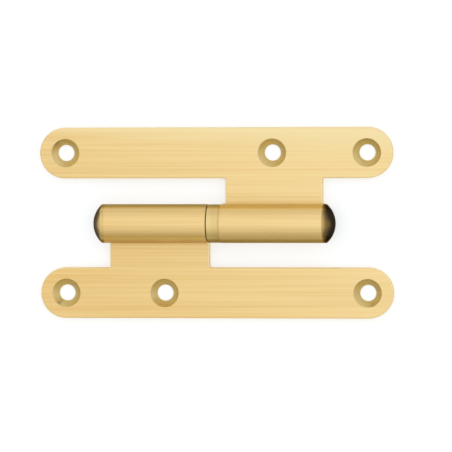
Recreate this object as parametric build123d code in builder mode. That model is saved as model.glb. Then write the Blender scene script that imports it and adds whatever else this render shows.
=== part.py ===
"""Lift-off pin hinge: two leaves rolled from sheet, a pressed-in pin, a bearing ring and two domed caps.

The hinge lies open and flat. X runs along the pin, Y across the leaves and Z out of their screw faces.
The origin is on the plane of the leaves' backs, under the middle of the pin.
"""

import os
from math import asin, degrees

from build123d import *

os.makedirs("parts", exist_ok=True)

# Leaves
leaf_length = 110.0
open_width = 59.0
strip_width = 15.7
sheet_thickness = 2.5
pin_neck_inner_setback = 1.0
socket_neck_inner_setback = 0.1
neck_outer_setback = 0.75
corner_radius = 0.5
edge_break = 0.3

# Knuckles
bore_diameter = 7.0
knuckle_length = 31.9
seam_gap = 0.25
knuckle_edge_chamfer = 0.25

# Screw holes
screw_hole_diameter = 5.0
countersink_diameter = 8.8
countersink_angle = 90.0
end_hole_inset = 8.0
pin_middle_hole = 17.6
socket_middle_hole = 16.2

# Pin, ring and caps
running_clearance = 0.05
pin_end_gap = 0.4
pin_tip_room = 1.9
pin_nose_length = 2.0
pin_nose_taper = 0.8
pin_end_chamfer = 0.5
ring_diameter = 11.9
ring_length = 3.75
ring_edge_chamfer = 0.25
ring_seat_gap = 0.05
end_play = 0.3
cap_spigot_length = 5.0
cap_spigot_chamfer = 0.5
cap_collar = 1.0
cap_edge_chamfer = 0.2
dome_height = 2.7
dome_shoulder_rounding = 0.8

# Places that follow from those sizes
bore_radius = bore_diameter / 2
barrel_radius = bore_radius + sheet_thickness
strip_centre = (open_width - strip_width) / 2
strip_inner_edge = open_width / 2 - strip_width
knuckle_start = (ring_length + ring_seat_gap + end_play) / 2
knuckle_end = knuckle_start + knuckle_length
seam_angle = degrees(asin((sheet_thickness + seam_gap - barrel_radius) / barrel_radius))
roll_angle = 270 - seam_angle
pin_axis = Axis((0, 0, barrel_radius), (1, 0, 0))
axis_plane = Plane(origin=(0, 0, barrel_radius), x_dir=(1, 0, 0), z_dir=(0, -1, 0))

# Knuckle: the end of the sheet leaves the leaf's plane at the bottom of the barrel, goes round the bore
# and comes down again on the leaf's screw face, where a narrow seam stays open
with BuildPart() as knuckle:
    with BuildSketch(Plane.YZ.offset(knuckle_start)):
        with BuildLine():
            Line((barrel_radius, 0), (0, 0))
            outside = CenterArc((0, barrel_radius), barrel_radius, -90, -roll_angle)
            inside = CenterArc((0, barrel_radius), bore_radius, seam_angle, roll_angle)
            Line(outside @ 1, inside @ 0)
            Line((0, sheet_thickness), (barrel_radius, sheet_thickness))
            Line((barrel_radius, sheet_thickness), (barrel_radius, 0))
        make_face()
    extrude(amount=knuckle_length)
    end_rims = knuckle.edges().filter_by(GeomType.CIRCLE).filter_by(lambda rim: rim.radius > bore_radius)
    chamfer(end_rims, knuckle_edge_chamfer)


def rolled_leaf(neck_inner_setback, middle_hole):
    """The leaf on the +X and +Y side: screw strip, neck and knuckle in one piece of sheet."""
    neck_start = knuckle_start + neck_inner_setback
    neck_end = knuckle_end - neck_outer_setback
    with BuildPart() as leaf:
        # Flat blank: a strip with full-round ends, and a neck that runs in under the barrel
        with BuildSketch() as blank:
            with Locations((0, strip_centre)):
                SlotOverall(leaf_length, strip_width)
            with Locations((neck_start, 0)):
                Rectangle(neck_end - neck_start, strip_centre, align=(Align.MIN, Align.MIN))
            inner_edge = blank.vertices().filter_by_position(Axis.Y, strip_inner_edge, strip_inner_edge)
            fillet(inner_edge.filter_by_position(Axis.X, neck_start, neck_end), corner_radius)
        extrude(amount=sheet_thickness)
        # The outline is broken on the screw face only: the backs stay sharp, as the punch leaves them
        screw_face = leaf.faces().sort_by(Axis.Z)[-1]
        outline = screw_face.outer_wire().edges()
        chamfer(outline.sort_by(Axis.Y)[1:], edge_break)
        add(knuckle.part)
        hole_places = [
            (end_hole_inset - leaf_length / 2, strip_centre, sheet_thickness),
            (middle_hole, strip_centre, sheet_thickness),
            (leaf_length / 2 - end_hole_inset, strip_centre, sheet_thickness),
        ]
        with Locations(*hole_places):
            CounterSinkHole(
                radius=screw_hole_diameter / 2,
                counter_sink_radius=countersink_diameter / 2,
                depth=sheet_thickness,
                counter_sink_angle=countersink_angle,
            )
    return leaf.part


# Pin leaf, which is screwed to the frame and carries the pin
with BuildPart() as pin_leaf:
    add(rolled_leaf(pin_neck_inner_setback, pin_middle_hole))

# Socket leaf, which is screwed to the door and lifts off the pin towards -X
with BuildPart() as socket_leaf:
    add(rolled_leaf(socket_neck_inner_setback, socket_middle_hole), rotation=(0, 0, 180))

# Pin: a seat pressed into the pin leaf's knuckle, and a slimmer journal that the socket leaf turns on.
# It reaches from one cap's spigot to just short of the other's
journal_radius = bore_radius - running_clearance
spigot_end = knuckle_end - cap_spigot_length
pin_tip = pin_tip_room - spigot_end
pin_end = spigot_end - pin_end_gap
with BuildPart() as hinge_pin:
    with BuildSketch(axis_plane) as pin_profile:
        with BuildLine():
            Polyline(
                (pin_tip, 0),
                (pin_tip, journal_radius - pin_nose_taper),
                (pin_tip + pin_nose_length, journal_radius),
                (knuckle_start, journal_radius),
                (knuckle_start, bore_radius),
                (pin_end, bore_radius),
                (pin_end, 0),
                close=True,
            )
        make_face()
        end_corner = pin_profile.vertices().group_by(Axis.Y)[-1].sort_by(Axis.X)[-1]
        chamfer(end_corner, pin_end_chamfer)
    revolve(axis=pin_axis)

# Bearing ring: a loose turned washer on the pin that carries the weight of the door
ring_end = knuckle_start - ring_seat_gap
with BuildPart() as bearing_ring:
    with BuildSketch(axis_plane) as ring_profile:
        with Locations((ring_end - ring_length, journal_radius + running_clearance)):
            Rectangle(
                ring_length,
                ring_diameter / 2 - journal_radius - running_clearance,
                align=(Align.MIN, Align.MIN),
            )
        chamfer(ring_profile.vertices(), ring_edge_chamfer)
    revolve(axis=pin_axis)

# Caps: a spigot pressed into the knuckle, a collar as wide as the barrel and a domed end
dome_radius = (barrel_radius**2 + dome_height**2) / (2 * dome_height)
dome_angle = degrees(asin(barrel_radius / dome_radius))
cap_shoulder = knuckle_end + cap_collar
cap_tip = cap_shoulder + dome_height
with BuildPart() as pin_leaf_cap:
    with BuildSketch(axis_plane) as cap_profile:
        with BuildLine():
            dome = CenterArc((cap_tip - dome_radius, 0), dome_radius, 0, dome_angle)
            Polyline(
                dome @ 1,
                (knuckle_end, barrel_radius),
                (knuckle_end, bore_radius),
                (spigot_end, bore_radius),
                (spigot_end, 0),
                (cap_tip, 0),
            )
        make_face()
        shoulder = cap_profile.vertices().group_by(Axis.Y)[-1].sort_by(Axis.X)[-1]
        fillet(shoulder, dome_shoulder_rounding)
        collar_corner = cap_profile.vertices().group_by(Axis.Y)[-1].sort_by(Axis.X)[0]
        chamfer(collar_corner, cap_edge_chamfer)
        spigot_corner = cap_profile.vertices().group_by(Axis.Y)[1].sort_by(Axis.X)[0]
        chamfer(spigot_corner, cap_spigot_chamfer)
    revolve(axis=pin_axis)

with BuildPart() as socket_leaf_cap:
    add(pin_leaf_cap.part, rotation=(0, 0, 180))

pin_leaf.part.label = "pin_leaf"
socket_leaf.part.label = "socket_leaf"
hinge_pin.part.label = "hinge_pin"
bearing_ring.part.label = "bearing_ring"
pin_leaf_cap.part.label = "pin_leaf_cap"
socket_leaf_cap.part.label = "socket_leaf_cap"

export_step(pin_leaf.part, "parts/pin_leaf.step")
export_step(socket_leaf.part, "parts/socket_leaf.step")
export_step(hinge_pin.part, "parts/hinge_pin.step")
export_step(bearing_ring.part, "parts/bearing_ring.step")
export_step(pin_leaf_cap.part, "parts/pin_leaf_cap.step")
export_step(socket_leaf_cap.part, "parts/socket_leaf_cap.step")
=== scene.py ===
# %% [markdown]
# # A lift-off pin hinge in satin brass
#
# The hinge lies open, screw faces up. Two leaves are rolled from one sheet each, a steel pin is pressed into
# the right knuckle, a loose ring sits between the knuckles and a domed cap closes each end of the barrel.
# The construction model gives every place and size. Here each piece is modelled once more, the way one would
# shape it by hand in Blender, with softened edges and real finishes.

# %% Load the frame
import math

import bmesh
import bpy
from mathutils import Matrix, Vector


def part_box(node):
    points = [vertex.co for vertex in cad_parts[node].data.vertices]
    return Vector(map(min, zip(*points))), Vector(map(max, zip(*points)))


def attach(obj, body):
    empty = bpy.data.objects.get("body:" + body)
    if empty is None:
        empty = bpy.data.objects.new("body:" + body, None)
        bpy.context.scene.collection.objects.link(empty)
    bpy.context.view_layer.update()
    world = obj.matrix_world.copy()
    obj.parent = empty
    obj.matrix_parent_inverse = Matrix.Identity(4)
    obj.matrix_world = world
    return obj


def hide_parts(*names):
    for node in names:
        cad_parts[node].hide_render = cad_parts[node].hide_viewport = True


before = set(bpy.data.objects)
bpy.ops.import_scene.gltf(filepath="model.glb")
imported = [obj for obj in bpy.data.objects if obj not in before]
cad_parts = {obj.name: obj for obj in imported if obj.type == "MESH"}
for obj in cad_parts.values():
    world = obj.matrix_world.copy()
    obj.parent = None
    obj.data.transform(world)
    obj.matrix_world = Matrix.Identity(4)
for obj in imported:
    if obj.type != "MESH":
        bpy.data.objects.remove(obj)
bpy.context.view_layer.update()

# %% [markdown]
# ## Sizes
#
# Sizes that the frame can tell are read from its boxes, so the new pieces always fit it. What a box can't
# tell, such as the sheet's thickness, is named here in millimetres.

# %% Read the sizes from the frame
mm = 0.001

leaf_low, leaf_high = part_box("pin_leaf")
cap_low, cap_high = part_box("pin_leaf_cap")
ring_low, ring_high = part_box("bearing_ring")
pin_low, pin_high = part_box("hinge_pin")

sheet = 2.5 * mm
strip_width = 15.7 * mm
ring_play = 0.05 * mm
spigot_length = 5.0 * mm

leaf_length = leaf_high.x - leaf_low.x
strip_inner = leaf_high.y - strip_width
strip_centre = leaf_high.y - strip_width / 2
barrel_radius = leaf_high.z / 2
bore_radius = barrel_radius - sheet
knuckle_start = ring_high.x + ring_play
knuckle_end = cap_low.x + spigot_length
pin_line = Vector((0, 0, barrel_radius))
print("barrel", round(barrel_radius * 2000, 2), "mm across, knuckle from", round(knuckle_start * 1000, 2),
      "to", round(knuckle_end * 1000, 2), "mm")

# %% [markdown]
# ## Selecting by place
#
# In the viewport one clicks on the edges and faces to shape. A script has no mouse, so it names them by where
# they are or which way they face. One helper clears the selection, then takes each vertex, edge or face that
# passes a test. Points that lie closer together than the weld distance count as one.

# %% Pick parts of the mesh in edit mode
weld = 0.002 * mm


def near(a, b):
    return abs(a - b) < weld


def middle(part):
    return sum((corner.co for corner in part.verts), Vector()) / len(part.verts)


def pick(kind, test):
    bpy.ops.mesh.select_mode(type=kind)
    bpy.ops.mesh.select_all(action="DESELECT")
    shape = bmesh.from_edit_mesh(bpy.context.object.data)
    parts = {"VERT": shape.verts, "EDGE": shape.edges, "FACE": shape.faces}[kind]
    found = [part for part in parts if test(part)]
    for part in found:
        part.select_set(True)
    bmesh.update_edit_mesh(bpy.context.object.data)
    return len(found)


def take(piece):
    bpy.ops.object.select_all(action="DESELECT")
    piece.select_set(True)
    bpy.context.view_layer.objects.active = piece


# %% [markdown]
# ## The leaf's strip
#
# A leaf starts as a strip of sheet with full-round ends. One could trace the outline vertex by vertex, but a
# box with its four upright edges bevelled by half its width gives the same round ends in one step. The
# bevels meet exactly in the middle of each end, so doubled vertices are merged afterwards.

# %% Cut the strip
shortest_upright = 0.5 * mm
corner_steps = 40


def upright(edge):
    run = edge.verts[0].co - edge.verts[1].co
    return abs(run.z) > shortest_upright and abs(run.x) + abs(run.y) < weld


def cut_strip(name):
    bpy.ops.object.select_all(action="DESELECT")
    bpy.ops.mesh.primitive_cube_add(size=1, location=(0, strip_centre, sheet / 2))
    leaf = bpy.context.object
    leaf.name = name
    leaf.data.name = name
    leaf.scale = (leaf_length, strip_width, sheet)
    bpy.ops.object.transform_apply(location=True, rotation=True, scale=True)
    bpy.ops.object.mode_set(mode="EDIT")
    corners = pick("EDGE", upright)
    bpy.ops.mesh.bevel(offset=strip_width / 2, segments=corner_steps, affect="EDGES")
    bpy.ops.mesh.select_all(action="SELECT")
    bpy.ops.mesh.remove_doubles(threshold=weld)
    print(name, "strip cut,", corners, "corners rounded")
    return leaf


# %% [markdown]
# ## The neck
#
# The neck joins the strip to the knuckle and is a little shorter than the knuckle, so the barrel stands past
# it at both ends. Two bisect cuts mark its width on the strip's inner side, and the face between them is
# drawn out to the barrel. The two inside corners get the small radius that the punch leaves. A face counts
# as facing along an axis when that part of its normal is nearly 1.

# %% Draw out the neck
punch_radius = 0.5 * mm
facing = 0.99


def draw_neck(neck_start, neck_end):
    for place in (neck_start, neck_end):
        bpy.ops.mesh.select_all(action="SELECT")
        bpy.ops.mesh.bisect(plane_co=(place, 0, 0), plane_no=(1, 0, 0))
    pick("FACE", lambda face: face.normal.y < -facing and neck_start < middle(face).x < neck_end)
    run = barrel_radius - strip_inner
    bpy.ops.mesh.extrude_region_move(TRANSFORM_OT_translate={"value": (0, run, 0)})
    pick("EDGE", lambda edge: upright(edge) and near(middle(edge).y, strip_inner)
         and (near(middle(edge).x, neck_start) or near(middle(edge).x, neck_end)))
    bpy.ops.mesh.bevel(offset=punch_radius, segments=6, affect="EDGES")
    print("neck drawn out", round(-run * 1000, 2), "mm,", round((neck_end - neck_start) * 1000, 2), "mm wide")


# %% [markdown]
# ## Rolling the knuckle
#
# The knuckle is the same sheet, rolled round the pin. Spin does in Blender what the rolling tool does: the
# end face of the sheet is drawn in under the pin and then swept round it, until it comes down on the leaf
# again and leaves a narrow seam. Before that, the end is widened from the neck's width to the knuckle's.

# %% Roll the knuckle
seam_gap = 0.25 * mm
seam_angle = math.asin((sheet + seam_gap - barrel_radius) / barrel_radius)
roll_angle = math.radians(270) - seam_angle
roll_steps = 96
print("the sheet is rolled through", round(math.degrees(roll_angle), 1), "degrees")


def roll_knuckle(neck_start, neck_end):
    pick("FACE", lambda face: near(middle(face).y, barrel_radius) and face.normal.y < -facing)
    bpy.ops.mesh.extrude_region_move(TRANSFORM_OT_translate={"value": (0, -barrel_radius, 0)})
    for side, wider in ((-1, neck_start - knuckle_start), (1, knuckle_end - neck_end)):
        pick("FACE", lambda face: face.normal.x * side > facing and 0 < middle(face).y < barrel_radius)
        bpy.ops.mesh.extrude_region_move(TRANSFORM_OT_translate={"value": (side * wider, 0, 0)})
    pick("FACE", lambda face: near(middle(face).y, 0) and face.normal.y < -facing)
    bpy.ops.mesh.spin(steps=roll_steps, angle=roll_angle, center=pin_line, axis=(1, 0, 0))
    bpy.ops.mesh.select_all(action="SELECT")
    bpy.ops.mesh.remove_doubles(threshold=weld)
    bpy.ops.mesh.normals_make_consistent(inside=False)


# %% [markdown]
# ## Broken edges
#
# Sheet that has been punched and then brushed has no sharp edges on its screw face. The outline there gets a
# rounded break of 0.3 mm, from just outside the knuckle's foot. The knuckle's two rims are rounded by less
# than 0.1 mm, so that knuckle, ring and cap read as one barrel with fine lines between them. The back keeps
# its edges nearly sharp.

# %% Find the edges to break
foot = barrel_radius + 0.15 * mm
longest_rim_edge = 1.0 * mm
print("the outline is broken from", round(foot * 1000, 2), "mm outwards")


def on_outline(edge):
    tilts = sorted(abs(face.normal.z) for face in edge.link_faces)
    wall_meets_face = len(tilts) == 2 and tilts[0] < 0.1 and tilts[1] > facing
    return wall_meets_face and near(middle(edge).z, sheet) and middle(edge).y > foot


def on_rim(edge, place):
    if edge.calc_length() > longest_rim_edge:
        return False
    level = all(near(corner.co.x, place) for corner in edge.verts)
    spread = [math.hypot(corner.co.y, corner.co.z - barrel_radius) for corner in edge.verts]
    return level and all(near(radius, barrel_radius) for radius in spread)


# %% Break the leaf's edges
outline_break = 0.3 * mm
outer_rim = 0.06 * mm


def break_edges(inner_rim):
    bpy.ops.mesh.select_all(action="SELECT")
    bpy.ops.mesh.bisect(plane_co=(0, foot, 0), plane_no=(0, 1, 0))
    count = pick("EDGE", on_outline)
    bpy.ops.mesh.bevel(offset=outline_break, segments=4, affect="EDGES")
    for place, size in ((knuckle_start, inner_rim), (knuckle_end, outer_rim)):
        count += pick("EDGE", lambda edge: on_rim(edge, place))
        bpy.ops.mesh.bevel(offset=size, segments=4, affect="EDGES")
    print("edges broken:", count)


# %% [markdown]
# ## Countersunk screw holes
#
# Each hole takes a 4.5 mm wood screw: a 5 mm hole with a 90 degree countersink, 8.8 mm wide at the face.
# A drill makes them in the real sheet, so a drill-shaped cutter makes them here: a cone, drawn out downwards
# through the sheet. It goes on a little above the face, so that the cut never lies on the face itself.

# %% Shape the countersink's cutter
hole_radius = 2.5 * mm
countersink_radius = 4.4 * mm
cutter_sides = 96


def countersink_cutter(place):
    above = 0.5 * mm
    deep = countersink_radius - hole_radius
    bpy.ops.object.select_all(action="DESELECT")
    bpy.ops.mesh.primitive_cone_add(vertices=cutter_sides, radius1=hole_radius,
                                    radius2=countersink_radius + above, depth=deep + above,
                                    location=(place, strip_centre, sheet + (above - deep) / 2))
    cutter = bpy.context.object
    bpy.ops.object.transform_apply(location=True, rotation=True, scale=True)
    bpy.ops.object.mode_set(mode="EDIT")
    pick("FACE", lambda face: face.normal.z < -facing)
    bpy.ops.mesh.extrude_region_move(TRANSFORM_OT_translate={"value": (0, 0, -sheet)})
    bpy.ops.object.mode_set(mode="OBJECT")
    return cutter


# %% Drill and countersink the screw holes
end_margin = 8.0 * mm
end_hole = leaf_length / 2 - end_margin


def drill(leaf, places):
    for place in places:
        cutter = countersink_cutter(place)
        take(leaf)
        hole = leaf.modifiers.new("hole", "BOOLEAN")
        hole.object = cutter
        hole.operation = "DIFFERENCE"
        hole.solver = "EXACT"
        bpy.ops.object.modifier_apply(modifier=hole.name)
        bpy.data.objects.remove(cutter)
    print(leaf.name, "drilled at", [round(place * 1000, 2) for place in places])


# %% [markdown]
# ## Finishing a mesh
#
# No edge of a real piece is perfectly sharp, so a last narrow bevel goes over every edge that is still sharp.
# Weighted normals then let the large flat faces stay flat right up to those bevels, which keeps the satin
# reflections calm.

# %% Soften and smooth
softened_from = math.radians(38)
smooth_up_to = math.radians(50)


def finish_mesh(piece, width):
    take(piece)
    soft = piece.modifiers.new("soft edges", "BEVEL")
    soft.width = width
    soft.segments = 2
    soft.limit_method = "ANGLE"
    soft.angle_limit = softened_from
    soft.use_clamp_overlap = True
    bpy.ops.object.modifier_apply(modifier=soft.name)
    bpy.ops.object.shade_smooth_by_angle(angle=smooth_up_to)
    calm = piece.modifiers.new("calm faces", "WEIGHTED_NORMAL")
    calm.weight = 80
    calm.keep_sharp = True
    bpy.ops.object.modifier_apply(modifier=calm.name)
    print(piece.name, len(piece.data.polygons), "faces")


# %% [markdown]
# ## The two leaves
#
# Both leaves follow the same steps. They differ in where the neck begins, where the middle screw hole sits
# and how far the knuckle is rounded next to the ring. The socket leaf is modelled in the pin leaf's place and
# then turned half round the origin.

# %% Make the leaves
outer_setback = 0.75 * mm
leaf_softening = 0.06 * mm
pin_middle_hole = 17.6 * mm
socket_middle_hole = 16.2 * mm


def make_leaf(name, inner_setback, middle_hole, inner_rim):
    neck_start = knuckle_start + inner_setback
    neck_end = knuckle_end - outer_setback
    leaf = cut_strip(name)
    draw_neck(neck_start, neck_end)
    roll_knuckle(neck_start, neck_end)
    break_edges(inner_rim)
    bpy.ops.object.mode_set(mode="OBJECT")
    drill(leaf, (-end_hole, middle_hole, end_hole))
    finish_mesh(leaf, leaf_softening)
    return leaf


pin_leaf = make_leaf("rolled_pin_leaf", inner_setback=1.0 * mm, middle_hole=pin_middle_hole,
                     inner_rim=0.06 * mm)
socket_leaf = make_leaf("rolled_socket_leaf", inner_setback=0.1 * mm, middle_hole=socket_middle_hole,
                        inner_rim=0.09 * mm)
socket_leaf.rotation_euler.z = math.pi
bpy.ops.object.transform_apply(location=True, rotation=True, scale=True)

# %% Check that the leaves are closed
for leaf in (pin_leaf, socket_leaf):
    check = bmesh.new()
    check.from_mesh(leaf.data)
    loose = sum(1 for edge in check.edges if not edge.is_manifold)
    print(leaf.name, "open edges:", loose, "volume mm3:", round(check.calc_volume() * 1e9, 1))
    check.free()

# %% [markdown]
# ## A small lathe
#
# The ring, pin and caps come off a lathe, so Blender turns them too: a single vertex is drawn along half of
# the outline, some corners of that outline are rounded, and the outline is spun round the pin's line. A
# rounding is given by its corner's place and radius, its size and its number of steps.

# %% Turn an outline round the pin's line
lathe_steps = 128


def turn(name, outline, roundings):
    bpy.ops.object.select_all(action="DESELECT")
    start = Vector((outline[0][0], 0, barrel_radius + outline[0][1]))
    bpy.ops.mesh.primitive_plane_add(size=mm, location=start)
    piece = bpy.context.object
    piece.name = name
    piece.data.name = name
    bpy.ops.object.transform_apply(location=True, rotation=True, scale=True)
    bpy.ops.object.mode_set(mode="EDIT")
    bpy.ops.mesh.select_mode(type="VERT")
    bpy.ops.mesh.select_all(action="SELECT")
    bpy.ops.mesh.merge(type="CENTER")
    for here, there in zip(outline, outline[1:]):
        step = (there[0] - here[0], 0, there[1] - here[1])
        bpy.ops.mesh.extrude_vertices_move(TRANSFORM_OT_translate={"value": step})
    for place, radius, size, steps in roundings:
        pick("VERT", lambda corner: near(corner.co.x, place) and near(corner.co.z, barrel_radius + radius))
        bpy.ops.mesh.bevel(offset=size, segments=steps, affect="VERTICES")
    bpy.ops.mesh.select_all(action="SELECT")
    bpy.ops.mesh.spin(steps=lathe_steps, angle=math.tau, center=pin_line, axis=(1, 0, 0))
    bpy.ops.mesh.select_all(action="SELECT")
    bpy.ops.mesh.remove_doubles(threshold=weld)
    bpy.ops.mesh.normals_make_consistent(inside=False)
    bpy.ops.object.mode_set(mode="OBJECT")
    return piece


# %% [markdown]
# ## The bearing ring
#
# The door's weight rests on this loose ring. It is a plain turned washer, a hair slimmer than the barrel and
# very slightly crowned, so that it catches the light a little differently from the knuckles.

# %% Turn the ring
ring_crown = 0.05 * mm
ring_softening = 0.04 * mm
ring_radius = (ring_high.z - ring_low.z) / 2
ring_middle = (ring_high.x + ring_low.x) / 2
ring_edge = ring_radius - ring_crown
ring = turn("turned_ring", [
    (ring_low.x, bore_radius),
    (ring_low.x, ring_edge),
    (ring_middle, ring_radius),
    (ring_high.x, ring_edge),
    (ring_high.x, bore_radius),
    (ring_low.x, bore_radius),
], [
    (ring_low.x, ring_edge, 0.05 * mm, 3),
    (ring_high.x, ring_edge, 0.05 * mm, 3),
    (ring_middle, ring_radius, 1.6 * mm, 10),
])
finish_mesh(ring, ring_softening)

# %% [markdown]
# ## The pin
#
# The pin only shows when the leaves are lifted apart. One half is pressed into the pin leaf's knuckle. The
# other half is ground a little slimmer for the socket leaf to turn on, with a tapered nose that finds the
# bore.

# %% Turn the pin
turned_softening = 0.03 * mm
running_clearance = 0.05 * mm
nose_taper = 0.8 * mm
nose_length = 2.0 * mm
journal_radius = bore_radius - running_clearance
nose_radius = journal_radius - nose_taper
nose_end = pin_low.x + nose_length
pin = turn("ground_pin", [
    (pin_low.x, 0),
    (pin_low.x, nose_radius),
    (nose_end, journal_radius),
    (knuckle_start, journal_radius),
    (knuckle_start, bore_radius),
    (pin_high.x, bore_radius),
    (pin_high.x, 0),
], [
    (pin_low.x, nose_radius, 0.4 * mm, 5),
    (nose_end, journal_radius, 0.6 * mm, 5),
    (pin_high.x, bore_radius, 0.5 * mm, 3),
])
finish_mesh(pin, turned_softening)

# %% [markdown]
# ## The domed caps
#
# A cap is a plug: a spigot inside the knuckle, a collar as wide as the barrel and a shallow dome. The dome's
# outline is an arc through the collar's rim and the cap's tip. One cap is turned and its copy is turned round
# for the other end.

# %% Turn the caps
dome_height = 2.7 * mm
dome_steps = 20
dome_radius = (barrel_radius**2 + dome_height**2) / (2 * dome_height)
dome_angle = math.asin(barrel_radius / dome_radius)
cap_tip = cap_high.x
dome_centre = cap_tip - dome_radius
arc = [dome_angle * step / dome_steps for step in range(dome_steps + 1)]
cap_outline = [(dome_centre + dome_radius * math.cos(a), dome_radius * math.sin(a)) for a in arc]
cap_rim = cap_outline[-1][0]
cap_outline += [
    (knuckle_end, barrel_radius),
    (knuckle_end, bore_radius),
    (cap_low.x, bore_radius),
    (cap_low.x, 0),
]
pin_cap = turn("domed_pin_cap", cap_outline, [
    (cap_rim, barrel_radius, 0.28 * mm, 6),
    (knuckle_end, barrel_radius, 0.06 * mm, 3),
    (cap_low.x, bore_radius, 0.5 * mm, 3),
])
finish_mesh(pin_cap, turned_softening)

# %% Copy the cap for the other end
socket_cap = pin_cap.copy()
socket_cap.data = pin_cap.data.copy()
socket_cap.name = "domed_socket_cap"
socket_cap.data.name = "domed_socket_cap"
bpy.context.scene.collection.objects.link(socket_cap)
take(socket_cap)
socket_cap.rotation_euler.z = math.pi
bpy.ops.object.transform_apply(location=True, rotation=True, scale=True)
print(socket_cap.name, "reaches to", round(min(v.co.x for v in socket_cap.data.vertices) * 1000, 2), "mm")

# %% [markdown]
# ## Joining the frame
#
# Each new piece takes the place of one node of the frame and rides that node's body when the hinge moves.
# The table also gives each piece a finish's name.

# %% Join the pieces to the frame
for piece, node, body, finish in (
    (pin_leaf, "pin_leaf", "fixed_leaf", "leaf_brass"),
    (pin, "hinge_pin", "fixed_leaf", "pin_steel"),
    (pin_cap, "pin_leaf_cap", "fixed_leaf", "cap_brass"),
    (ring, "bearing_ring", "ring", "ring_brass"),
    (socket_leaf, "socket_leaf", "lifting_leaf", "leaf_brass"),
    (socket_cap, "socket_leaf_cap", "lifting_leaf", "cap_brass"),
):
    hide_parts(node)
    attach(piece, body)

# %% [markdown]
# ## Building materials from nodes
#
# Colours are picked as screen colours and turned to linear light once, here. One helper adds any node with
# its settings and links. A colour ramp's settings are its stops, each a position and a colour.

# %% Screen colours in linear light
def linear(code):
    steps = [int(code[i:i + 2], 16) / 255 for i in (1, 3, 5)]
    return [s / 12.92 if s <= 0.04045 else ((s + 0.055) / 1.055) ** 2.4 for s in steps] + [1.0]


def set_stops(marks, stops):
    marks.remove(marks[1])
    marks[0].position = stops[0][0]
    marks[0].color = linear(stops[0][1])
    for position, code in stops[1:]:
        marks.new(position).color = linear(code)


# %% Add a node
def add_node(tree, kind, settings, links):
    node = tree.nodes.new(kind)
    for name, value in settings.items():
        if name == "stops":
            set_stops(node.color_ramp.elements, value)
        elif isinstance(name, str) and hasattr(node, name):
            setattr(node, name, value)
        else:
            node.inputs[name].default_value = value
    for name, source in links.items():
        tree.links.new(source, node.inputs[name])
    return node


def new_material(name):
    material = bpy.data.materials.new(name)
    material.use_nodes = True
    material.node_tree.nodes.clear()
    return material, material.node_tree


# %% [markdown]
# ## What the metals share
#
# Every metal here has lines or mottling of a known size, so one helper stretches noise to a grain whose
# lengths along X, Y and Z are given in millimetres. All of them also end alike: the grain makes the metal a
# little duller in some places and brighter in others, and raises a slight relief. Noise mostly stays between
# 0.3 and 0.7, so that range is spread over the two roughness values.

# %% Grain and place
def grain(tree, lengths, detail):
    place = add_node(tree, "ShaderNodeTexCoord", {}, {})
    scale = [1 / length for length in lengths]
    stretch = add_node(tree, "ShaderNodeMapping", {"Scale": scale}, {"Vector": place.outputs["Object"]})
    noise = add_node(tree, "ShaderNodeTexNoise", {"Scale": 1.0, "Detail": detail},
                     {"Vector": stretch.outputs["Vector"]})
    return noise.outputs["Fac"]


def object_place(tree):
    place = add_node(tree, "ShaderNodeTexCoord", {}, {}).outputs["Object"]
    axes = add_node(tree, "ShaderNodeSeparateXYZ", {}, {"Vector": place}).outputs
    return place, axes


# %% Roughness, relief and shader
usual_low = 0.3
usual_high = 0.7


def make_metal(material, colour, lines, relief, roughness, bump, settings, links):
    tree = material.node_tree
    rough = add_node(tree, "ShaderNodeMapRange",
                     {"From Min": usual_low, "From Max": usual_high,
                      "To Min": roughness[0], "To Max": roughness[1]}, {"Value": lines})
    raised = add_node(tree, "ShaderNodeBump", {"Strength": bump[0], "Distance": bump[1]}, {"Height": relief})
    metal = add_node(tree, "ShaderNodeBsdfPrincipled", {"Metallic": 1.0} | settings,
                     {"Base Color": colour, "Roughness": rough.outputs["Result"],
                      "Normal": raised.outputs["Normal"]} | links)
    add_node(tree, "ShaderNodeOutputMaterial", {}, {"Surface": metal.outputs["BSDF"]})
    print(material.name, "has", len(tree.nodes), "nodes")


# %% [markdown]
# ## Painted shade on the barrel's sides
#
# The barrel's sides are painted darker and more olive low down. That is painted shade: it stands in for the
# dim walls and the shaded paper that the sides mirror, and it draws the barrel's outline. A ramp over the
# distance from a line along the top of the barrel, a little towards the back, gives a tint, which multiplies
# the colour of every piece of the barrel. On the side where a leaf joins, the painted shade is only a narrow
# golden band. Seen at a glancing angle, the brass is a shade greyer.

# %% Painted shade down the barrel's sides
free_side_shade = (
    (0.34, "#FFFFFF"), (0.42, "#EDECDF"), (0.49, "#D1D0B9"), (0.6, "#C0BE9B"), (0.68, "#C0BE9B"),
    (0.86, "#FFFFFF"),
)
joined_side_shade = (
    (0.31, "#FFFFFF"), (0.37, "#FCF7DD"), (0.43, "#F0E8C5"), (0.48, "#F0E8C5"), (0.55, "#FFFFFF"),
)
glancing_tint = linear("#C8C8C0")
print(len(free_side_shade), "tints on the free side,", len(joined_side_shade), "where a leaf joins")

# %% Paint shade on the barrel's sides
crest_line = (0, 0.7 * mm, 2 * barrel_radius)
side_shade_reach = 12 * mm


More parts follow.
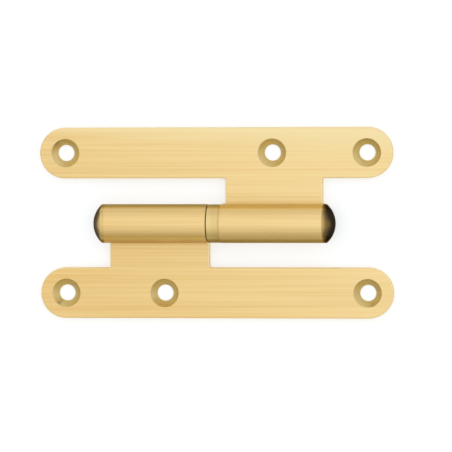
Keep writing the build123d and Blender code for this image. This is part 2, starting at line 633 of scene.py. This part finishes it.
def paint_side_shade(tree, colour, joined_shade_stops):
    place, axes = object_place(tree)
    across = add_node(tree, "ShaderNodeVectorMath", {"operation": "MULTIPLY", 1: (0, 1, 1)}, {0: place})
    away = add_node(tree, "ShaderNodeVectorMath", {"operation": "DISTANCE", 1: crest_line},
                    {0: across.outputs["Vector"]})
    level = add_node(tree, "ShaderNodeMapRange", {"From Min": 0.0, "From Max": side_shade_reach},
                     {"Value": away.outputs["Value"]})
    joined_tint, free_tint = [
        add_node(tree, "ShaderNodeValToRGB", {"stops": stops}, {"Fac": level.outputs["Result"]})
        for stops in (joined_shade_stops, free_side_shade)
    ]
    # The pin leaf joins at +X and +Y, the socket leaf at -X and -Y, so X times Y tells the side
    corner = add_node(tree, "ShaderNodeMath", {"operation": "MULTIPLY"}, {0: axes["X"], 1: axes["Y"]})
    free = add_node(tree, "ShaderNodeMath", {"operation": "LESS_THAN", 1: 0.0}, {0: corner.outputs["Value"]})
    tint = add_node(tree, "ShaderNodeMix", {"data_type": "RGBA"},
                    {0: free.outputs["Value"], 6: joined_tint.outputs["Color"],
                     7: free_tint.outputs["Color"]})
    # Painted shade: the colour is multiplied by the side tint, darker low on the barrel's sides
    mixed = add_node(tree, "ShaderNodeMix", {"data_type": "RGBA", "blend_type": "MULTIPLY", 0: 1.0},
                     {6: colour, 7: tint.outputs[2]})
    return mixed.outputs[2]


# %% [markdown]
# ## Satin brushed brass
#
# The leaves are plated and then brushed along the pin with a fine abrasive belt. To the eye that gives long
# straight streaks, a soft sheen that spreads across them, and a barrel that shades smoothly from its crest to
# its sides. Real brush lines are some hundredths of a millimetre apart, and here they are drawn about ten
# times coarser so that the picture can show them. Painted light lies over the tone: it grows a little paler
# over the whole hinge towards the right and the back, as under a lamp close by, and a painted highlight
# pales the pin leaf's outer edge.

# %% Satin brushed brass: lines and tone
fine_share = 0.8
broad_share = 0.3
painted_light_share = 0.43
painted_light_slope = 0.8
painted_light_reach = 46 * mm

brass, tree = new_material("satin_brushed_brass")
fine = grain(tree, (70 * mm, 0.45 * mm, 0.45 * mm), 3.0)
broad = grain(tree, (110 * mm, 3.0 * mm, 3.0 * mm), 2.0)
hair = grain(tree, (16 * mm, 0.16 * mm, 0.16 * mm), 2.0)
place, axes = object_place(tree)
# Painted light: the tone grows paler towards +X and +Y, as under a lamp close by
painted_light_slant = add_node(tree, "ShaderNodeMath", {"operation": "MULTIPLY_ADD", 1: painted_light_slope},
                 {0: axes["X"], 2: axes["Y"]})
drift = add_node(tree, "ShaderNodeMapRange",
                 {"From Min": -painted_light_reach, "From Max": painted_light_reach, "To Min": 0.0, "To Max": painted_light_share},
                 {"Value": painted_light_slant.outputs["Value"]})
tone = add_node(tree, "ShaderNodeMath", {"operation": "MULTIPLY_ADD", 1: fine_share},
                {0: fine, 2: drift.outputs["Result"]})
tone = add_node(tree, "ShaderNodeMath", {"operation": "MULTIPLY_ADD", 1: broad_share},
                {0: broad, 2: tone.outputs["Value"]})
streaks = add_node(tree, "ShaderNodeValToRGB", {"stops": ((0.25, "#E6BF77"), (1.0, "#F7DDA2"))},
                   {"Fac": tone.outputs["Value"]})

# %% Satin brushed brass: painted highlight on the outer edge, and shader
painted_highlight_share = 0.9
painted_highlight_slope = 0.06
painted_highlight_start = 22.8 * mm
painted_highlight_end = 29.2 * mm

# Painted highlight: the pin leaf's outer edge is mixed towards a pale brass
edge = add_node(tree, "ShaderNodeMath", {"operation": "MULTIPLY_ADD", 1: painted_highlight_slope},
                {0: axes["X"], 2: axes["Y"]})
painted_highlight = add_node(tree, "ShaderNodeMapRange",
                {"From Min": painted_highlight_start, "From Max": painted_highlight_end, "To Min": 0.0, "To Max": painted_highlight_share},
                {"Value": edge.outputs["Value"]})
highlit_streaks = add_node(tree, "ShaderNodeMix", {"data_type": "RGBA", 7: linear("#F6E3AE")},
                 {0: painted_highlight.outputs["Result"], 6: streaks.outputs["Color"]})
# Painted shade down the knuckles' sides
colour = paint_side_shade(tree, highlit_streaks.outputs[2], joined_side_shade)
across = add_node(tree, "ShaderNodeTangent", {"direction_type": "RADIAL", "axis": "X"}, {})
make_metal(brass, colour, fine, hair, roughness=(0.41, 0.34), bump=(0.05, 0.02 * mm),
           settings={"Anisotropic": 0.5, "Specular Tint": glancing_tint},
           links={"Tangent": across.outputs["Tangent"]})

# %% [markdown]
# ## Sheared brass edge
#
# The side walls of the sheet were never brushed. The punch sheared them, which leaves short upright scratches
# under the plating and a duller, deeper tone. It draws a fine line round each leaf.

# %% Sheared brass edge
wall_brass, tree = new_material("sheared_brass_edge")
shear = grain(tree, (0.3 * mm, 0.3 * mm, 4 * mm), 3.0)
colour = add_node(tree, "ShaderNodeValToRGB", {"stops": ((0.3, "#E6C582"), (0.7, "#F2D796"))}, {"Fac": shear})
make_metal(wall_brass, colour.outputs["Color"], shear, shear, roughness=(0.52, 0.42),
           bump=(0.25, 0.03 * mm), settings={}, links={})

# %% [markdown]
# ## Countersunk brass
#
# The countersink's cutter leaves fine rings in the cone and a smoother, more olive metal than the brush. The
# cone faces its own far side, so it looks darker than the leaf around it. Each cone also carries painted
# light
# and shade: it is painted paler on one side and darker on the opposite side, which gives each hole depth.
# Which side a face is on comes from an attribute that is marked further down.

# %% Countersunk brass
feed_share = 0.4
painted_shading_share = 0.6

sunk_brass, tree = new_material("countersunk_brass")
feed = grain(tree, (9 * mm, 9 * mm, 0.22 * mm), 2.0)
# Painted light and shade: each cone is painted paler on one side and darker opposite
side = add_node(tree, "ShaderNodeAttribute", {"attribute_name": "cone_side"}, {})
rings = add_node(tree, "ShaderNodeMath", {"operation": "MULTIPLY", 1: feed_share}, {0: feed})
tone = add_node(tree, "ShaderNodeMath", {"operation": "MULTIPLY_ADD", 1: painted_shading_share},
                {0: side.outputs["Fac"], 2: rings.outputs["Value"]})
colour = add_node(tree, "ShaderNodeValToRGB",
                  {"stops": ((0.15, "#B6A574"), (0.5, "#DAC68E"), (0.85, "#F6E2A9"))},
                  {"Fac": tone.outputs["Value"]})
make_metal(sunk_brass, colour.outputs["Color"], feed, feed, roughness=(0.35, 0.27),
           bump=(0.2, 0.03 * mm), settings={}, links={})

# %% [markdown]
# ## Brass edge with a painted glint
#
# The broken edges are finished smoother than the faces and painted a shade paler. That is a painted glint,
# which gives each outline a thin, soft light line.

# %% Brass edge with a painted glint
glint_edge_brass, tree = new_material("painted_glint_brass_edge")
rub = grain(tree, (3 * mm, 0.3 * mm, 0.3 * mm), 3.0)
# Painted glint: the edges are painted paler than the faces
colour = add_node(tree, "ShaderNodeValToRGB", {"stops": ((0.3, "#F6E2B2"), (0.7, "#FCF0CE"))}, {"Fac": rub})
make_metal(glint_edge_brass, colour.outputs["Color"], rub, rub, roughness=(0.44, 0.36),
           bump=(0.1, 0.02 * mm), settings={}, links={})

# %% [markdown]
# ## Turned brass
#
# The ring shows the lathe: fine lines run round it, across the direction of the brushed leaves, and that is
# how the eye tells it from the knuckles. It is paler towards its -X end and darker towards +X.

# %% Turned brass
lathe_share = 0.5
low_x_pale_share = 0.5

ring_brass, tree = new_material("turned_brass")
lathe = grain(tree, (0.3 * mm, 8 * mm, 8 * mm), 3.0)
place, axes = object_place(tree)
drift = add_node(tree, "ShaderNodeMapRange",
                 {"From Min": ring_low.x, "From Max": ring_high.x, "To Min": low_x_pale_share, "To Max": 0.0},
                 {"Value": axes["X"]})
tone = add_node(tree, "ShaderNodeMath", {"operation": "MULTIPLY_ADD", 1: lathe_share},
                {0: lathe, 2: drift.outputs["Result"]})
bands = add_node(tree, "ShaderNodeValToRGB", {"stops": ((0.1, "#DFC284"), (0.9, "#F3DCA0"))},
                 {"Fac": tone.outputs["Value"]})
# Painted shade down the ring's sides, as on the knuckles
colour = paint_side_shade(tree, bands.outputs["Color"], free_side_shade)
make_metal(ring_brass, colour, lathe, lathe, roughness=(0.42, 0.36), bump=(0.12, 0.02 * mm),
           settings={"Specular Tint": glancing_tint}, links={})

# %% [markdown]
# ## Brass cap with a painted dark reflection
#
# The crowns look almost black beside the leaves. That dark is painted into the brass: painted shade and a
# painted reflection of a dim room, brass at the collar, brown over the rim and nearly black at the tip, with
# a little mottling along its edge. Distance along the pin tells how dark a point is painted. A small offset
# along
# X makes the pin leaf's cap the darker one.

# %% How far the painted dark reaches
painted_dark_offset = 0.3 * mm
painted_dark_waver = 0.3 * mm
painted_dark_margin = 0.45 * mm
painted_dark_start = knuckle_end + painted_dark_margin
painted_dark_end = cap_tip + painted_dark_margin
print("the painted dark runs from", round(painted_dark_start * 1000, 2), "to", round(painted_dark_end * 1000, 2), "mm")


def painted_dark_reach(tree, mottle, axes):
    # Painted dark: it grows from the collar towards the tip
    shifted = add_node(tree, "ShaderNodeMath", {"operation": "ADD", 1: painted_dark_offset}, {0: axes["X"]})
    reach = add_node(tree, "ShaderNodeMath", {"operation": "ABSOLUTE"}, {0: shifted.outputs["Value"]})
    waver = add_node(tree, "ShaderNodeMath", {"operation": "MULTIPLY_ADD", 1: painted_dark_waver},
                     {0: mottle, 2: reach.outputs["Value"]})
    painted_dark_share = add_node(tree, "ShaderNodeMapRange", {"From Min": painted_dark_start, "From Max": painted_dark_end},
                   {"Value": waver.outputs["Value"]})
    return painted_dark_share.outputs["Result"]


# %% [markdown]
# ## A painted lit crown
#
# The middle of the crown, where it faces up, is painted a shade paler: a painted highlight, so the painted
# dark lies closest along the crown's flanks. Distance to the side, with height counted only half, strengthens
# the painted dark there. The socket leaf's cap is painted as the lit one, a lighter brown with a sharper
# edge.

# %% Brass cap with painted dark and a painted lit crown
painted_lit_middle = 0.8 * mm
painted_flank_strength = 3.0


def paint_dark_cap(name, stops):
    cap_brass, tree = new_material(name)
    mottle = grain(tree, (1.5 * mm, 1.5 * mm, 1.5 * mm), 3.0)
    place, axes = object_place(tree)
    spread = add_node(tree, "ShaderNodeVectorMath", {"operation": "MULTIPLY", 1: (0, 1, 0.5)}, {0: place})
    aside = add_node(tree, "ShaderNodeVectorMath", {"operation": "DISTANCE", 1: (0, 0, barrel_radius)},
                     {0: spread.outputs["Vector"]})
    # Painted highlight: the crown's middle is painted paler and its flanks darker
    painted_lit_crown = add_node(tree, "ShaderNodeMapRange",
                      {"From Min": painted_lit_middle, "From Max": barrel_radius,
                       "To Min": 1.0, "To Max": painted_flank_strength}, {"Value": aside.outputs["Value"]})
    dark = add_node(tree, "ShaderNodeMath", {"operation": "MULTIPLY"},
                    {0: painted_dark_reach(tree, mottle, axes), 1: painted_lit_crown.outputs["Result"]})
    painted_dark_colour = add_node(tree, "ShaderNodeValToRGB", {"stops": stops}, {"Fac": dark.outputs["Value"]})
    # Painted shade down the cap's sides, as on the knuckles
    colour = paint_side_shade(tree, painted_dark_colour.outputs["Color"], free_side_shade)
    make_metal(cap_brass, colour, mottle, mottle, roughness=(0.36, 0.28), bump=(0.05, 0.05 * mm),
               settings={"Specular Tint": linear("#B3AFA8")}, links={})
    return cap_brass


# %% Paint the dark on the two caps
# Painted shade: the pin leaf's cap is the shaded copy, the socket leaf's cap the lit one
painted_shaded_cap_brass = paint_dark_cap("brass_cap_painted_dark", (
    (0.0, "#DCC184"), (0.14, "#B89D64"), (0.27, "#A28955"), (0.41, "#8B7344"),
    (0.63, "#675338"), (0.84, "#473C30"), (1.0, "#342F2B"),
))
painted_lit_cap_brass = paint_dark_cap("brass_cap_painted_lighter", (
    (0.0, "#DFC588"), (0.2, "#D6BB80"), (0.27, "#A58E64"), (0.36, "#6F604A"),
    (0.7, "#5A4F42"), (1.0, "#473F37"),
))

# %% [markdown]
# ## Ground steel
#
# The pin is ground to size between wheels, which leaves a bright grey steel with very fine lines round it.

# %% Ground steel
steel, tree = new_material("ground_steel")
grind = grain(tree, (0.12 * mm, 6 * mm, 6 * mm), 2.0)
colour = add_node(tree, "ShaderNodeValToRGB", {"stops": ((0.3, "#B2B0AB"), (0.7, "#C1BFBA"))}, {"Fac": grind})
make_metal(steel, colour.outputs["Color"], grind, grind, roughness=(0.31, 0.27),
           bump=(0.03, 0.02 * mm), settings={}, links={})

# %% [markdown]
# ## Marking the countersinks
#
# An attribute is a number that each point of a mesh carries. Here it tells how far a point of a countersink
# lies towards the side that is painted lit: 1 there, 0 on the painted dark side opposite.

# %% Mark the countersinks' painted lit side
hole_places = {
    pin_leaf.name: [(x, strip_centre) for x in (-end_hole, pin_middle_hole, end_hole)],
    socket_leaf.name: [(x, -strip_centre) for x in (-end_hole, -socket_middle_hole, end_hole)],
}
painted_lit_side = Vector((-0.6, -0.8, 0))
marked_radius = countersink_radius + 0.2 * mm


def mark_cone_painted_light(leaf):
    side = leaf.data.attributes.new("cone_side", "FLOAT", "POINT")
    count = 0
    for corner in leaf.data.vertices:
        for x, y in hole_places[leaf.name]:
            offset = Vector((corner.co.x - x, corner.co.y - y, 0))
            if offset.length < marked_radius:
                side.data[corner.index].value = 0.5 + 0.5 * offset.normalized().dot(painted_lit_side)
                count += 1
    print(leaf.name, count, "points marked")


for leaf in (pin_leaf, socket_leaf):
    mark_cone_painted_light(leaf)

# %% [markdown]
# ## Painting the pieces
#
# A leaf carries four finishes, each on the faces that its tool has touched: walls that the punch sheared,
# edges that the belt rounded, cones and bores of the holes, and the brushed rest. How far a face's normal
# points up tells the steep faces from the flat ones. The other pieces have one finish each.

# %% Tell which tool touched a face
strip_starts = barrel_radius + 0.2 * mm
cone_radius = countersink_radius + 0.05 * mm
steep = 0.35
flat = 0.98


def is_wall(face):
    on_strip = abs(middle(face).y) > strip_starts
    return abs(face.normal.x) > 0.9 or (on_strip and abs(face.normal.z) < steep)


def is_broken_edge(face):
    spot = middle(face)
    on_strip = abs(spot.y) > strip_starts and spot.z > sheet / 2
    return on_strip and steep < face.normal.z < flat


def in_hole(face, places):
    spot = middle(face)
    close = any(math.hypot(spot.x - x, spot.y - y) < cone_radius for x, y in places)
    return close and abs(face.normal.z) < flat


# %% Paint the pieces
for leaf in (pin_leaf, socket_leaf):
    leaf.data.materials.clear()
    for finish in (brass, wall_brass, glint_edge_brass, sunk_brass):
        leaf.data.materials.append(finish)
    take(leaf)
    bpy.ops.object.mode_set(mode="EDIT")
    tests = (is_wall, is_broken_edge, lambda face: in_hole(face, hole_places[leaf.name]))
    for index, test in enumerate(tests, start=1):
        count = pick("FACE", test)
        leaf.active_material_index = index
        bpy.ops.object.material_slot_assign()
        print(leaf.name, leaf.data.materials[index].name, count, "faces")
    bpy.ops.object.mode_set(mode="OBJECT")

for piece, finish in (
    (ring, ring_brass), (pin_cap, painted_shaded_cap_brass), (socket_cap, painted_lit_cap_brass), (pin, steel),
):
    piece.data.materials.clear()
    piece.data.materials.append(finish)
    print(piece.name, finish.name)

# %% [markdown]
# ## The paper floor
#
# The hinge lies on white paper. Under soft light plain paper renders pale grey, so the camera, reflections
# and glass also see a little glow in it, which lifts it to white. Diffuse light doesn't see that glow, so the
# hinge gets no more light and its faint shadow stays on the paper.

# %% Lay the paper floor
floor_side = 6
floor_gap = 0.05 * mm

bpy.ops.object.select_all(action="DESELECT")
bpy.ops.mesh.primitive_plane_add(size=floor_side, location=(0, 0, -floor_gap))
floor = bpy.context.object
floor.name = "paper_floor"
bpy.ops.object.transform_apply(location=True, rotation=True, scale=True)
print(floor.name, floor_side, "m square")

# %% Matte white paper
paper_glow = 0.56

paper, tree = new_material("matte_white_paper")
fibre = grain(tree, (0.8 * mm, 0.8 * mm, 0.8 * mm), 3.0)
colour = add_node(tree, "ShaderNodeValToRGB", {"stops": ((0.3, "#C4C8CE"), (0.7, "#C8CCD2"))}, {"Fac": fibre})
matte = add_node(tree, "ShaderNodeBsdfDiffuse", {}, {"Color": colour.outputs["Color"]})
path = add_node(tree, "ShaderNodeLightPath", {}, {})
seen = add_node(tree, "ShaderNodeMath", {"operation": "MAXIMUM"},
                {0: path.outputs["Is Camera Ray"], 1: path.outputs["Is Glossy Ray"]})
seen = add_node(tree, "ShaderNodeMath", {"operation": "MAXIMUM"},
                {0: seen.outputs["Value"], 1: path.outputs["Is Transmission Ray"]})
level = add_node(tree, "ShaderNodeMath", {"operation": "MULTIPLY", 1: paper_glow},
                 {0: seen.outputs["Value"]})
glow = add_node(tree, "ShaderNodeEmission", {}, {"Strength": level.outputs["Value"]})
both = add_node(tree, "ShaderNodeAddShader", {}, {0: matte.outputs["BSDF"], 1: glow.outputs["Emission"]})
add_node(tree, "ShaderNodeOutputMaterial", {}, {"Surface": both.outputs["Shader"]})
floor.data.materials.append(paper)
print(paper.name, "has", len(tree.nodes), "nodes")

# %% [markdown]
# ## Studio light
#
# Metal shows what surrounds it, so the light is a whole surrounding: a wide soft ceiling, brightest overhead
# and a little to the back right, that falls off to dim, slightly warm walls. The flat leaves mirror the
# ceiling and look bright. The barrel's sides mirror the walls and turn darker and deeper in colour.

# %% Light the studio
ceiling_strength = 1.06

world = bpy.data.worlds.new("studio")
bpy.context.scene.world = world
world.use_nodes = True
tree = world.node_tree
tree.nodes.clear()
way = add_node(tree, "ShaderNodeTexCoord", {}, {})
brightest = Vector((0.25, 0.25, 1.0)).normalized()
lean = add_node(tree, "ShaderNodeVectorMath", {"operation": "DOT_PRODUCT", 1: brightest},
                {0: way.outputs["Generated"]})
share = add_node(tree, "ShaderNodeMapRange", {"From Min": -1.0, "From Max": 1.0},
                 {"Value": lean.outputs["Value"]})
walls = add_node(tree, "ShaderNodeValToRGB",
                 {"stops": ((0.382, "#90886C"), (0.55, "#B7AD92"), (0.75, "#E2DED4"), (0.94, "#FFFFFF"))},
                 {"Fac": share.outputs["Result"]})
sky = add_node(tree, "ShaderNodeBackground", {"Strength": ceiling_strength},
               {"Color": walls.outputs["Color"]})
add_node(tree, "ShaderNodeOutputWorld", {}, {"Surface": sky.outputs["Background"]})
print("brightest towards", [round(side, 2) for side in brightest])

# %% [markdown]
# ## Camera
#
# The hinge is seen from nearly straight above through a long lens, so lines that run together in a wide view
# stay parallel. The camera leans a little to the right and to the back, which shows more of the right dome.
# The picture is 452 pixels wide, and one pixel covers 0.3085 mm of the hinge. The hinge's origin lies some
# pixels off the picture's middle, so the camera aims beside it.

# %% Place the camera
sensor = 36
lens = 400
picture_width = 452
pixel = 0.3085 * mm
lean_right = math.radians(8.5)
lean_back = math.radians(2.8)
aim_right = 10.1
aim_down = 3.0

bpy.ops.object.camera_add()
camera = bpy.context.object
camera.data.sensor_width = sensor
camera.data.lens = lens
distance = picture_width * pixel / 2 / (sensor / 2 / lens)
back = Vector((math.tan(lean_right), math.tan(lean_back), 1)).normalized()
up = back.cross(Vector((1, 0, 0))).normalized()
right = up.cross(back)
target = Vector((0, 0, sheet)) + right * aim_right * pixel - up * aim_down * pixel
turn_to = Matrix((right, up, back)).transposed().to_4x4()
camera.matrix_world = Matrix.Translation(target + back * distance) @ turn_to
camera.data.clip_start = 0.01
camera.data.clip_end = 20
bpy.context.scene.camera = camera
bpy.context.scene.view_settings.view_transform = "Standard"
print("camera", round(distance, 3), "m away")
